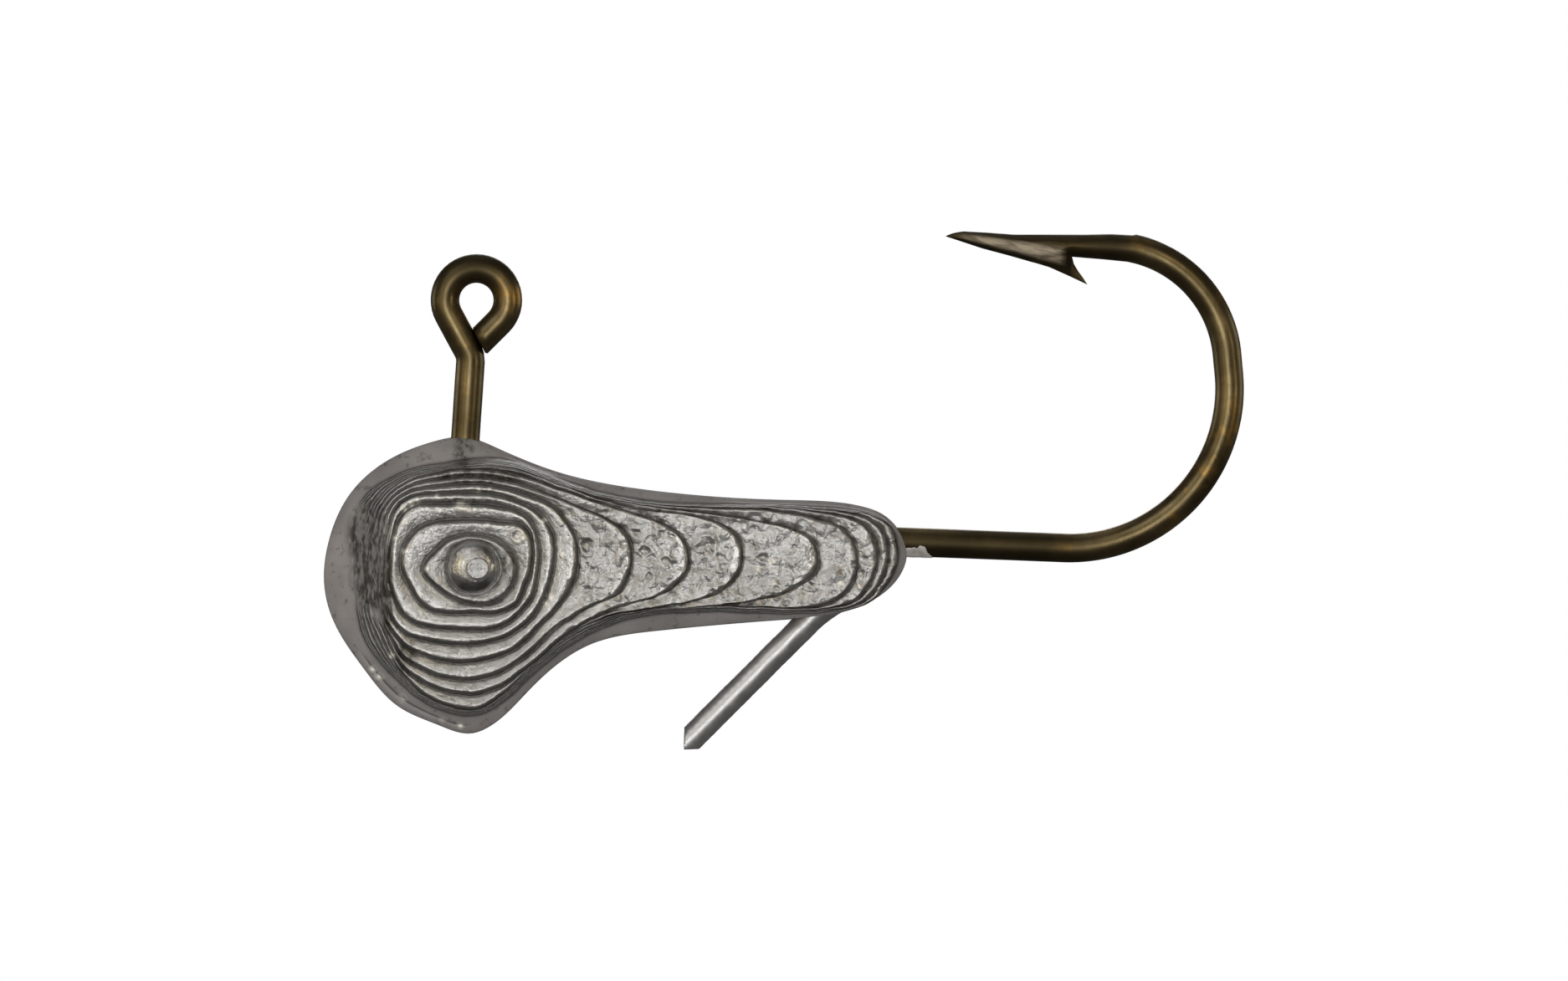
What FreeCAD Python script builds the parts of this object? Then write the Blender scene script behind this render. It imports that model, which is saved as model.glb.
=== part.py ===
"""Fish-shaped lead jig head moulded on a 90 degree jig hook, with a cast bait keeper.

Millimetres.  The origin is the centre of the line-tie eye, +Z up, +X from the head to
the hook bend, and Y across the thickness.  Everything is symmetric about Y = 0, which
is both the plane of the hook and the parting plane of the mould.

The casting is a flat rimmed blank with a sloped margin, and above the margin rises a
stack of flat terraces that step up to the crown, where a stepped eye stands.  Every
terrace outline is read at the same seventeen stations: nose, brow, along the back to the
tail, tail tip, and back along the belly and chin.
"""
import FreeCAD, Part
import math
import os
from FreeCAD import Vector

# Hook wire
WIRE_R = 0.57            # radius of the round wire
EYE_R = 1.24             # centre line of the line-tie eye
EYE_CUT_TURN = -45.0     # where the wire leaves the eye circle to close on the stem
EYE_STEM_TURN = 208.0    # where the eye circle runs into the stem
STEM_KINK = (-0.22, -2.21)
STEM_CORNER = (-0.66, -8.87)
STEM_BEND_R = 0.8
SHANK_BEND_R = 1.6
SHANK_SLOPE = -0.0385    # the shank falls slightly towards the bend
SHANK_POINT = (17.51, -9.57)
BEND_CENTRE = (23.41, -3.50)
BEND_R = 6.29
BEND_EXIT_TURN = 5.0
THROAT_CENTRE = (24.92, -2.565)
THROAT_R = 4.70
POINT_END_X = 18.2
POINT_RISE = 0.02        # the point line lifts this much per millimetre towards the tip

# Ground profile of the point, seen from the side, tip first
POINT_UPPER = [(18.51, 2.52), (19.18, 2.70), (20.10, 2.66), (21.20, 2.58), (24.04, 2.60), (25.90, 2.80)]
POINT_LOWER = [(25.90, 1.20), (24.60, 1.50), (22.36, 1.40), (20.99, 1.75), (19.94, 2.03), (18.63, 2.41)]
POINT_PLAN = [(18.45, 0.06), (19.2, 0.22), (21.5, 0.46), (24.0, 0.60), (26.2, 0.60)]
BARB = [(22.20, 1.85), (22.36, 1.38), (24.10, 0.60), (23.76, 1.08), (23.55, 1.42), (23.55, 1.85)]
BARB_HALF = 0.30

# Casting
RIM_HALF = 0.60          # half thickness of the flat rim at the parting plane
MARGIN_HALF = 1.05       # half thickness where the sloped margin meets the first terrace
TERRACE_RISE = 0.20      # step between terraces
EYE_PAD_RISE = 0.20
EYE_CENTRE = (0.08, -10.68)
EYE_STEPS = [(1.09, 0.32), (0.92, 0.24), (0.74, 0.18), (0.50, 0.12)]   # radius and rise

SILHOUETTE = [
    (-6.02, -11.0), (-5.85, -9.6), (-4.95, -7.6), (-3.18, -6.15), (-1.75, -5.6), (-0.45, -5.41),
    (0.84, -5.85), (3.32, -6.80), (6.95, -7.50), (12.2, -7.87), (15.4, -8.13), (16.6, -8.78),
    (17.0, -9.80), (16.2, -11.45), (14.6, -12.28), (12.2, -12.62), (6.95, -13.08), (4.54, -13.58),
    (3.30, -14.30), (1.93, -15.56), (0.70, -16.72), (-0.21, -17.11), (-1.50, -16.78),
    (-3.12, -16.02), (-4.41, -14.60), (-5.75, -12.40)]

# Terrace outlines from the margin to the crown, at the seventeen stations
MARGIN = [
    (-4.85, -10.20), (-4.50, -7.97), (-3.60, -7.14), (-1.30, -6.42), (1.00, -6.30),
    (4.30, -7.40), (9.80, -8.00), (14.80, -8.44), (16.65, -9.95), (16.05, -11.20), (13.60, -12.27),
    (5.63, -12.82), (3.28, -13.94), (0.12, -16.45), (-2.13, -15.89), (-3.15, -15.06), (-4.24, -13.91)]
FOURTH = [
    (-4.47, -10.20), (-4.21, -8.23), (-3.45, -7.31), (-1.30, -6.57), (1.00, -6.44),
    (4.30, -7.52), (8.50, -8.10), (13.90, -8.72), (15.03, -9.95), (14.30, -11.60), (12.00, -12.10),
    (5.63, -12.62), (3.14, -13.78), (0.12, -16.29), (-2.03, -15.72), (-2.95, -14.90), (-3.81, -13.84)]
FIFTH = [
    (-4.34, -10.20), (-4.11, -8.33), (-3.38, -7.38), (-1.30, -6.62), (1.00, -6.50),
    (4.30, -7.58), (8.00, -8.25), (12.60, -9.15), (13.48, -10.10), (12.80, -11.15), (10.20, -11.85),
    (5.63, -12.52), (3.07, -13.71), (0.12, -16.22), (-2.00, -15.66), (-2.89, -14.83), (-3.65, -13.78)]
SIXTH = [
    (-4.21, -10.20), (-4.01, -8.43), (-3.32, -7.44), (-1.30, -6.68), (1.00, -6.58),
    (3.20, -7.22), (6.60, -8.18), (9.70, -8.85), (10.51, -10.02), (10.00, -11.27), (8.30, -11.80),
    (5.63, -12.33), (3.00, -13.65), (0.12, -16.15), (-1.96, -15.59), (-2.82, -14.77), (-3.48, -13.71)]
SEVENTH = [
    (-4.08, -10.20), (-3.88, -8.53), (-3.22, -7.54), (-1.30, -6.75), (1.00, -6.72),
    (2.33, -7.14), (5.00, -8.10), (7.51, -8.93), (8.43, -10.02), (7.87, -11.20), (6.30, -11.72),
    (5.10, -12.06), (2.69, -13.61), (-0.05, -15.53), (-1.90, -15.13), (-2.76, -14.54), (-3.35, -13.58)]
EIGHTH = [
    (-3.91, -10.20), (-3.75, -8.63), (-3.12, -7.67), (-1.30, -7.05), (1.00, -7.05),
    (1.90, -7.28), (3.65, -8.07), (5.46, -8.83), (6.15, -10.02), (5.69, -11.55), (4.75, -11.95),
    (3.98, -12.27), (2.39, -13.52), (-0.15, -14.93), (-1.90, -14.64), (-2.69, -14.17), (-3.25, -13.45)]
NINTH = [
    (-3.75, -10.20), (-3.58, -8.76), (-3.02, -7.84), (-1.30, -7.34), (1.00, -7.38),
    (1.67, -7.53), (2.85, -8.05), (3.71, -8.72), (4.08, -9.95), (3.91, -11.00), (3.55, -11.70),
    (3.20, -12.18), (2.06, -13.40), (-0.25, -14.27), (-1.90, -14.04), (-2.69, -13.68), (-3.15, -13.20)]
TENTH = [
    (-3.55, -10.20), (-3.38, -8.89), (-2.92, -7.99), (-1.30, -7.61), (1.00, -7.80),
    (1.67, -8.00), (2.30, -8.33), (2.85, -9.03), (3.09, -9.95), (2.89, -11.07), (2.68, -11.62),
    (2.39, -12.15), (1.60, -13.05), (-0.31, -13.55), (-1.90, -13.41), (-2.66, -13.18), (-3.05, -12.80)]
ELEVENTH = [
    (-3.32, -10.20), (-3.12, -8.98), (-2.66, -8.25), (-1.30, -8.04), (0.90, -8.17),
    (1.34, -8.24), (1.90, -8.47), (2.39, -8.95), (2.59, -9.69), (2.49, -10.81), (2.35, -11.28),
    (2.13, -11.75), (1.47, -12.55), (-0.31, -12.95), (-1.86, -12.88), (-2.60, -12.56), (-3.00, -12.10)]
CROWN = [
    (-2.89, -10.20), (-2.66, -9.52), (-1.96, -8.89), (-1.14, -8.70), (0.90, -8.70),
    (1.35, -8.73), (1.85, -8.86), (2.15, -9.20), (2.26, -9.78), (2.14, -10.68), (2.00, -11.12),
    (1.80, -11.55), (1.20, -12.20), (-0.31, -12.27), (-1.73, -12.20), (-2.19, -11.86), (-2.49, -11.40)]
EYE_PAD = [
    (-2.02, -10.66), (-1.60, -9.95), (-0.95, -9.42), (0.10, -9.25), (1.10, -9.55), (1.62, -10.20),
    (1.62, -11.05), (1.10, -11.75), (0.10, -12.00), (-0.90, -11.70), (-1.62, -11.20)]

# Bait keeper
KEEPER_R = 0.52
KEEPER_ROOT = (14.15, -11.62)     # buried in the tail of the casting
KEEPER_TIP = (8.62, -17.15)       # centre of the rounded tip
KEEPER_FLARE_R = 0.95             # the root widens to this where it is buried
KEEPER_FLARE = 1.9                # length over which it narrows to the stem


def at(point, y=0.0):
    """A point of the side view, given as (x, z), placed in space."""
    return Vector(point[0], y, point[1])


def blend(first, second, share):
    """The outline that lies part of the way from one outline to the next."""
    return [(a[0] + (b[0] - a[0]) * share, a[1] + (b[1] - a[1]) * share) for a, b in zip(first, second)]


def terrace_outlines():
    """All twelve terraces, lowest first."""
    second = blend(FOURTH, MARGIN, 0.77)
    third = blend(FOURTH, MARGIN, 0.50)
    return [MARGIN, second, third, FOURTH, FIFTH, SIXTH, SEVENTH, EIGHTH, NINTH, TENTH, ELEVENTH, CROWN]


def smooth_ring(points, y):
    """A closed smooth curve through points of the side view, in the plane Y = y."""
    curve = Part.BSplineCurve()
    curve.interpolate(Points=[at(point, y) for point in points], PeriodicFlag=True)
    return curve.toShape()


def sharp_plate(points, half):
    """A plate with straight edges, centred on the parting plane."""
    wire = Part.makePolygon([at(point, -half) for point in points + points[:1]])
    return Part.Face(wire).extrude(Vector(0, 2 * half, 0))


def round_ring(radius, y):
    """A circle of the stepped eye, in the plane Y = y."""
    return Part.Circle(at(EYE_CENTRE, y), Vector(0, 1, 0), radius).toShape()


def wall(ring, low, high):
    """The upright face that carries an outline from one level to another."""
    return Part.makeRuledSurface(ring(low), ring(high))


def flat(y, outer, inner=None):
    """The flat face inside an outline, up to the foot of the next one."""
    wires = [Part.Wire([outer(y)])]
    if inner:
        wires.append(Part.Wire([inner(y)]))
    return Part.makeFace(wires, "Part::FaceMakerBullseye")


def levels():
    """Every step above the margin as its outline and its height, lowest first."""
    steps = [(lambda y, o=outline: smooth_ring(o, y), TERRACE_RISE) for outline in terrace_outlines()]
    steps.append((lambda y: smooth_ring(EYE_PAD, y), EYE_PAD_RISE))
    steps += [(lambda y, r=radius: round_ring(r, y), rise) for radius, rise in EYE_STEPS]
    return steps


def half_faces(side):
    """The margin, the walls and the treads on one side of the parting plane."""
    rim = smooth_ring(SILHOUETTE, side * RIM_HALF)
    faces = [Part.makeRuledSurface(rim, smooth_ring(MARGIN, side * MARGIN_HALF))]
    low = MARGIN_HALF
    steps = levels()
    for index, (ring, rise) in enumerate(steps):
        high = low + rise
        inner = steps[index + 1][0] if index + 1 < len(steps) else None
        faces.append(wall(ring, side * low, side * high))
        faces.append(flat(side * high, ring, inner))
        low = high
    return faces


def raw_casting():
    """The casting before the hook and the keeper are taken out of it."""
    rim = wall(lambda y: smooth_ring(SILHOUETTE, y), -RIM_HALF, RIM_HALF)
    shell = Part.Shell([rim] + half_faces(1) + half_faces(-1))
    shell.sewShape()
    solid = Part.Solid(shell)
    if solid.Volume < 0:
        solid.reverse()
    return solid


def toward(start, end, length):
    """The point at a length from start on the way to end."""
    span = math.dist(start, end)
    return (start[0] + (end[0] - start[0]) * length / span, start[1] + (end[1] - start[1]) * length / span)


def on_circle(centre, radius, turn):
    """The point of a circle at a turn in degrees from +X towards +Z."""
    angle = math.radians(turn)
    return (centre[0] + radius * math.cos(angle), centre[1] + radius * math.sin(angle))


def line(start, end):
    return Part.LineSegment(at(start), at(end)).toShape()


def arc(centre, radius, first, last):
    """An arc of the side view from one turn to another."""
    turns = (first, (first + last) / 2, last)
    return Part.Arc(*[at(on_circle(centre, radius, turn)) for turn in turns]).toShape()


def corner(before, vertex, after, radius):
    """The tangent arc that rounds a corner, with its two ends."""
    one = math.atan2(before[1] - vertex[1], before[0] - vertex[0])
    two = math.atan2(after[1] - vertex[1], after[0] - vertex[0])
    half = abs(math.remainder(one - two, 2 * math.pi)) / 2
    reach = radius / math.tan(half)
    start = toward(vertex, before, reach)
    end = toward(vertex, after, reach)
    middle = ((start[0] + end[0]) / 2, (start[1] + end[1]) / 2)
    centre = toward(vertex, middle, radius / math.sin(half))
    top = toward(centre, vertex, radius)
    return start, Part.Arc(at(start), at(top), at(end)).toShape(), end


def shank_height(x):
    return SHANK_POINT[1] + SHANK_SLOPE * (x - SHANK_POINT[0])


def wire_path():
    """The centre line of the hook, from the cut end of the eye to the tip of the point."""
    leave = on_circle((0, 0), EYE_R, EYE_CUT_TURN)
    cut = (leave[0] - 0.62, leave[1] - 0.62)
    onto_stem = on_circle((0, 0), EYE_R, EYE_STEM_TURN)
    bend_start_turn = math.degrees(math.atan(SHANK_SLOPE)) - 90
    bend_start = on_circle(BEND_CENTRE, BEND_R, bend_start_turn)
    foot = (STEM_CORNER[0], shank_height(STEM_CORNER[0]))
    kink_in, kink, kink_out = corner(onto_stem, STEM_KINK, foot, STEM_BEND_R)
    heel_in, heel, heel_out = corner(STEM_KINK, foot, bend_start, SHANK_BEND_R)
    bend_end = on_circle(BEND_CENTRE, BEND_R, BEND_EXIT_TURN)
    throat_start = on_circle(THROAT_CENTRE, THROAT_R, BEND_EXIT_TURN)
    throat_end_turn = 90 + math.degrees(math.atan(POINT_RISE))
    throat_end = on_circle(THROAT_CENTRE, THROAT_R, throat_end_turn)
    tip = (POINT_END_X, throat_end[1] + POINT_RISE * (throat_end[0] - POINT_END_X))
    return Part.Wire([
        line(cut, leave), arc((0, 0), EYE_R, EYE_CUT_TURN, EYE_STEM_TURN), line(onto_stem, kink_in),
        kink, line(kink_out, heel_in), heel, line(heel_out, bend_start),
        arc(BEND_CENTRE, BEND_R, bend_start_turn, BEND_EXIT_TURN), line(bend_end, throat_start),
        arc(THROAT_CENTRE, THROAT_R, BEND_EXIT_TURN, throat_end_turn), line(throat_end, tip)])


def hook_blank():
    """The bent wire before its point is ground: one round section along the whole path."""
    path = wire_path()
    start = path.Edges[0].firstVertex().Point
    ahead = (path.Edges[0].lastVertex().Point - start).normalize()
    section = Part.Wire([Part.Circle(start, ahead, WIRE_R).toShape()])
    return path.makePipeShell([section], True, False)


def ground_point(blank):
    """The end of the wire, forged thinner and ground to a tip in side view and in plan."""
    profile = sharp_plate(POINT_UPPER + POINT_LOWER, 1.0)
    plan = [Vector(x, half, 0) for x, half in POINT_PLAN]
    plan += [Vector(x, -half, 0) for x, half in reversed(POINT_PLAN)]
    wedge = Part.Face(Part.makePolygon(plan + plan[:1])).extrude(Vector(0, 0, 4))
    return blank.common(profile).common(wedge)


def jig_hook():
    """Eye, stem, shank, bend, point and barb: a single piece of wire."""
    blank = hook_blank()
    tip_region = Part.makeBox(8.5, 4, 4, Vector(POINT_UPPER[-1][0] - 8.5, -2, 0.2))
    body = blank.cut(tip_region)
    barb = sharp_plate(BARB, BARB_HALF)
    return body.fuse(ground_point(blank)).fuse(barb).removeSplitter()


def bait_keeper():
    """The slanted spike under the tail: rounded tip, straight stem and flared root."""
    root = at(KEEPER_ROOT)
    tip = at(KEEPER_TIP)
    axis = (tip - root).normalize()
    length = (tip - root).Length
    stem = Part.makeCylinder(KEEPER_R, length, root, axis)
    end = Part.makeSphere(KEEPER_R, tip)
    flare = Part.makeCone(KEEPER_FLARE_R, KEEPER_R, KEEPER_FLARE, root, axis)
    return stem.fuse(end).fuse(flare).removeSplitter()


def lead_head(hook, keeper):
    """The casting, poured round the hook and the root of the keeper."""
    return raw_casting().cut(hook).cut(keeper)


def write(node, shape):
    shape.exportStep("parts/" + node + ".step")
    print(node, shape.isValid(), len(shape.Solids), round(shape.Volume, 2))


def main():
    os.makedirs("parts", exist_ok=True)
    hook = jig_hook()
    keeper = bait_keeper()
    write("jig_hook", hook)
    write("bait_keeper", keeper)
    write("lead_head", lead_head(hook, keeper))


main()
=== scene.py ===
"""Looks of the lead jig head: a detailed casting, hook, keeper and film of lead round the frame.

The side view is the plane Y = 0.  Helpers work in millimetres, as (x, z) points of the
side view with a height away from it, and every mesh is scaled to metres when it is made.
Materials, lamps and the camera are in metres.
"""
import math

import bmesh
import bpy
import numpy as np
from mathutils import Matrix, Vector, noise


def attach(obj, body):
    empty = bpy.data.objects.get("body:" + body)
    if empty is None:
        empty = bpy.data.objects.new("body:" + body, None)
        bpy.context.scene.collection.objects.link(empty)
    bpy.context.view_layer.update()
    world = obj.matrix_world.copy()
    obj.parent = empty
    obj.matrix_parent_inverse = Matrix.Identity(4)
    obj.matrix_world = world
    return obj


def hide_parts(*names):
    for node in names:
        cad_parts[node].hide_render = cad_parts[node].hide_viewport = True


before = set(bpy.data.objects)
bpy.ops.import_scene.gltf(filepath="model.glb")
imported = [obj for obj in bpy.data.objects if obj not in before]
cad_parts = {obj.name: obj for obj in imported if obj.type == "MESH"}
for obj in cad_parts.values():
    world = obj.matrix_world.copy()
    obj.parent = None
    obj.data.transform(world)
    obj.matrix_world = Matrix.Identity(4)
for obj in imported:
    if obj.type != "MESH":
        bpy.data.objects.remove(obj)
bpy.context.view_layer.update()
MM = 0.001

# ---- sizes of the casting
RIM_HALF = 0.60
RIM_ROUND = 0.10
# Faint painted shade on the rim and on the eye's flat top.
FAINT_SHADE = 0.1
MARGIN_HALF = 1.05
MARGIN_CURVE = 0.8  # below 1, the margin rises fastest beside the rim
MARGIN_FOOT = 0.03  # depth of the groove at its inner edge
TERRACE_RISE = 0.20
HOLLOW_FRONT = 2.2  # rise over which the scuffed front runs in a hollow curve
RISER_WIDTH = 0.17
RISER_SHARE = 0.55  # of a narrow step, at most
RISER_ARC = [  # turn round the riser, and how rubbed its crest is there, which also sets its painted highlight
    (22, 0.0), (45, 0.0), (67, 0.5), (90, 0.6)]
LOW_TERRACES = 4  # the first ones from the rim are hardly rubbed, and get little painted highlight
LOW_WEAR_AND_HIGHLIGHT = 0.3
TREAD_STEP = 0.45  # across a tread, between two rows
CROWN_DROP = 0.06  # how far a tread falls from its crest to the next groove
GROOVE_DEPTH = 0.06
GROOVE_LIP = 0.05
# Painted shade darkens each groove and fades away from it, as set here.
GROOVE_FADE = 1.3  # how sharply the dark of a groove fades
HEAD_GROOVE = 0.16  # how far the dark of a groove spreads inwards on the head,
TAIL_GROOVE = 0.12  # and on the tail,
OUTER_GROOVE = 1.75  # and how many times as far up the riser beyond it
NECK = (2.0, 4.5)  # from the grooves of the head to those of the tail
RIM_LINE_INSET = 0.45  # the scored line just inside the lower front rim
RIM_LINE_DEPTH = 0.13
RIM_LINE_HALF = 0.09
RIM_LINE_X = (-0.1, -0.6)  # it fades in towards the front and downwards
RIM_LINE_Z = (-13.9, -14.7)
RIM_PROFILE = [  # half of the parting line: height across, and how far in
    (-0.57, 0.055), (-0.50, 0.035), (-0.30, 0.045), (-0.10, 0.045), (-0.035, 0.04)]
EYE_PAD_RISE = 0.20
EYE_MIDDLE = (-0.03, -10.52)
EYE_TOP = (0.19, -10.58)  # the top leans off the middle
EYE_DOME = [  # radius and height, from the foot to the flat top
    (1.04, 0.0), (1.03, 0.2), (1.0, 0.37), (0.95, 0.54), (0.88, 0.665), (0.79, 0.745),
    (0.69, 0.795), (0.59, 0.83), (0.51, 0.85), (0.465, 0.86), (0.44, 0.872), (0.41, 0.888),
    (0.375, 0.896), (0.33, 0.89), (0.26, 0.885), (0.16, 0.885)]
EYE_STEP = 0.165  # spacing of the faint tiers on its upper front
EYE_STEP_DEPTH = 0.05
EYE_LEAN = 1.5
EYE_SHOULDER = 0.45  # radius at which its top begins
EYE_ARC = 0.66  # radius of an arc of painted highlight on the upper front
EYE_FRONT = (-0.75, 0.66)
EYE_UNSHADED = (0.7, -0.5)  # towards the side where the painted shade of its groove is faintest
RING_SPACING = 0.22  # along the rim, between two vertices of a ring
HALVED_FROM = 8  # from this terrace up, rings have half as many vertices
LONGEST_EDGE = 0.26  # longer edges on the treads are split,
LONGEST_TAIL_EDGE = 0.15  # shorter ones too on the pitted tail,
LONGEST_SPOT_EDGE = 0.07  # and still shorter ones round each bead and crater
TAIL_START = 3.0
TAIL_FADE = 0.9
LIFT_FADE = 0.4  # unevenness grows in over this height
BEAD_HEIGHT = 0.2  # a share of the radius
PIT_DEPTH = 0.22

SILHOUETTE = [
    (-6.02, -11.0), (-5.85, -9.6), (-4.95, -7.6), (-3.18, -6.15), (-1.75, -5.6), (-0.45, -5.41),
    (0.84, -5.85), (3.32, -6.82), (6.95, -7.52), (12.2, -7.89), (15.15, -8.13), (16.05, -8.47),
    (16.62, -9.02), (16.98, -9.85), (16.72, -10.85), (16.15, -11.5), (14.6, -12.28), (12.2, -12.62),
    (6.95, -13.08), (4.54, -13.58), (3.3, -14.3), (1.93, -15.56), (0.7, -16.72), (-0.21, -17.11),
    (-1.5, -16.78), (-3.12, -16.02), (-4.41, -14.6), (-5.75, -12.4)]
MARGIN = [
    (-4.78, -10.2), (-4.5, -7.97), (-3.6, -7.14), (-1.3, -6.42), (1.0, -6.3), (4.3, -7.4),
    (9.8, -8.06), (15.0, -8.34), (16.25, -8.85), (16.62, -9.8), (16.45, -10.75), (15.9, -11.62),
    (13.6, -12.33), (4.9, -12.97), (1.95, -15.05), (0.12, -16.33), (-2.09, -15.77), (-3.06, -14.97),
    (-4.09, -13.86)]
FOURTH = [
    (-4.47, -10.2), (-4.21, -8.23), (-3.45, -7.31), (-1.3, -6.57), (1.0, -6.44), (4.3, -7.52),
    (8.5, -8.17), (13.6, -8.64), (14.68, -9.2), (14.98, -10.0), (14.95, -10.95), (14.4, -11.68),
    (12.2, -12.1), (4.9, -12.8), (1.88, -14.96), (0.12, -16.23), (-2.02, -15.67), (-2.93, -14.87),
    (-3.76, -13.81)]
FIFTH = [
    (-4.34, -10.2), (-4.11, -8.33), (-3.38, -7.38), (-1.3, -6.62), (1.0, -6.5), (4.3, -7.6),
    (8.0, -8.3), (12.45, -9.06), (13.25, -9.45), (13.5, -10.1), (13.36, -10.72), (12.75, -11.22),
    (10.54, -11.9), (4.8, -12.73), (1.84, -14.91), (0.12, -16.17), (-1.99, -15.61), (-2.88, -14.81),
    (-3.64, -13.76)]
SIXTH = [
    (-4.21, -10.2), (-4.01, -8.43), (-3.32, -7.44), (-1.3, -6.68), (1.0, -6.58), (3.2, -7.24),
    (6.6, -8.3), (9.5, -8.77), (10.2, -9.2), (10.5, -9.95), (10.36, -10.72), (9.75, -11.38),
    (8.2, -11.91), (4.7, -12.66), (1.8, -14.86), (0.12, -16.11), (-1.96, -15.56), (-2.83, -14.75),
    (-3.5, -13.7)]
SEVENTH = [
    (-4.08, -10.2), (-3.88, -8.53), (-3.22, -7.54), (-1.3, -6.75), (1.0, -6.72), (2.33, -7.1),
    (5.0, -8.04), (7.25, -8.79), (8.05, -9.26), (8.4, -10.0), (8.28, -10.74), (7.6, -11.4),
    (6.15, -11.93), (4.6, -12.56), (1.75, -14.75), (-0.05, -15.56), (-1.9, -15.13), (-2.76, -14.54),
    (-3.35, -13.58)]
EIGHTH = [
    (-3.91, -10.2), (-3.75, -8.63), (-3.12, -7.67), (-1.3, -7.05), (1.0, -7.05), (1.9, -7.28),
    (3.65, -8.01), (5.3, -8.72), (5.98, -9.32), (6.17, -10.1), (6.03, -10.85), (5.6, -11.58),
    (4.55, -12.02), (3.9, -12.36), (1.6, -14.31), (-0.15, -14.97), (-1.9, -14.64), (-2.69, -14.17),
    (-3.25, -13.45)]
NINTH = [
    (-3.75, -10.2), (-3.58, -8.76), (-3.02, -7.84), (-1.3, -7.34), (1.0, -7.38), (1.67, -7.53),
    (2.85, -8.0), (3.6, -8.65), (3.97, -9.35), (4.09, -10.05), (3.98, -10.85), (3.65, -11.62),
    (3.3, -12.05), (2.85, -12.53), (1.55, -13.74), (-0.25, -14.29), (-1.9, -14.04), (-2.69, -13.68),
    (-3.15, -13.2)]
TENTH = [
    (-3.55, -10.2), (-3.38, -8.89), (-2.92, -7.99), (-1.3, -7.61), (1.0, -7.72), (1.67, -7.92),
    (2.33, -8.24), (2.82, -8.77), (3.08, -9.32), (3.16, -9.95), (3.09, -10.65), (2.92, -11.3),
    (2.65, -11.9), (2.34, -12.4), (1.45, -13.18), (-0.31, -13.58), (-1.9, -13.41), (-2.66, -13.18),
    (-3.05, -12.8)]
ELEVENTH = [
    (-3.32, -10.2), (-3.12, -8.98), (-2.66, -8.25), (-1.3, -8.04), (0.9, -8.12), (1.34, -8.22),
    (1.88, -8.44), (2.27, -8.82), (2.48, -9.32), (2.55, -9.9), (2.51, -10.55), (2.42, -11.15),
    (2.26, -11.7), (1.98, -12.14), (1.32, -12.76), (-0.31, -12.98), (-1.86, -12.88), (-2.6, -12.56),
    (-3.0, -12.1)]
CROWN = [
    (-2.89, -10.2), (-2.66, -9.52), (-1.96, -8.89), (-1.14, -8.7), (0.9, -8.7), (1.35, -8.75),
    (1.85, -8.87), (2.12, -9.08), (2.27, -9.45), (2.31, -9.85), (2.25, -10.45), (2.14, -10.95),
    (1.97, -11.4), (1.74, -11.93), (1.2, -12.27), (-0.31, -12.32), (-1.73, -12.22), (-2.19, -11.86),
    (-2.49, -11.4)]
EYE_PAD = [
    (-2.02, -10.66), (-1.6, -9.95), (-0.95, -9.42), (0.1, -9.25), (1.1, -9.55), (1.62, -10.2),
    (1.62, -11.05), (1.1, -11.75), (0.1, -12.0), (-0.9, -11.7), (-1.62, -11.2)]

# Marks of the casting, each (x, z, radius) or (x, z, half length, half height, strength).
# Scuffs wear the terraces down to a hollow curve, and smudges only darken, with dark scribbles and
# painted shade, on the worn front, under the hook's stem, over the upper flank and beside the eye.
CRATERS = [
    (4.43, -9.67, 0.26), (4.5, -10.15, 0.13), (4.67, -10.61, 0.13), (4.41, -11.4, 0.14),
    (6.65, -9.88, 0.2), (6.87, -10.87, 0.16), (7.52, -10.31, 0.18), (9.11, -9.61, 0.3),
    (9.82, -9.82, 0.16), (9.72, -10.51, 0.16), (11.34, -10.16, 0.18), (12.55, -9.74, 0.15),
    (13.28, -11.27, 0.16), (14.41, -10.74, 0.12), (15.18, -10.8, 0.13), (1.72, -9.28, 0.2)]
# Small lumps; a few are bright chips, and most carry painted glints.
BEADS = [
    (-0.52, -8.2, 0.22), (-2.5, -8.03, 0.15), (-2.22, -7.92, 0.12), (-2.76, -8.22, 0.13),
    (-2.62, -8.76, 0.1), (-1.36, -8.37, 0.1), (2.98, -11.68, 0.13), (2.8, -11.93, 0.1),
    (1.78, -9.22, 0.14), (1.68, -9.5, 0.12), (0.55, -8.87, 0.09), (11.13, -10.59, 0.1),
    (11.7, -10.35, 0.13), (11.76, -11.22, 0.12), (14.4, -11.17, 0.11), (15.05, -11.27, 0.12),
    (-0.3, -8.25, 0.18), (-0.16, -8.36, 0.12), (-1.47, -7.74, 0.1), (0.18, -7.5, 0.09),
    (0.6, -7.5, 0.08), (2.7, -8.72, 0.1), (3.46, -10.05, 0.12), (-3.1, -9.39, 0.11),
    (-2.74, -9.92, 0.1), (-1.86, -10.6, 0.1), (-3.26, -14.02, 0.13), (-4.02, -14.54, 0.09),
    (-3.76, -14.83, 0.1), (-2.86, -15.65, 0.12), (-1.26, -16.52, 0.09), (-0.63, -16.76, 0.1),
    (1.95, -9.4, 0.13)]
SCUFFS = [
    (-4.5, -9.4, 1.2, 1.6, 1.0), (-4.35, -10.7, 1.1, 1.6, 1.0), (-3.75, -11.9, 0.55, 0.9, 0.8)]
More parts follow.
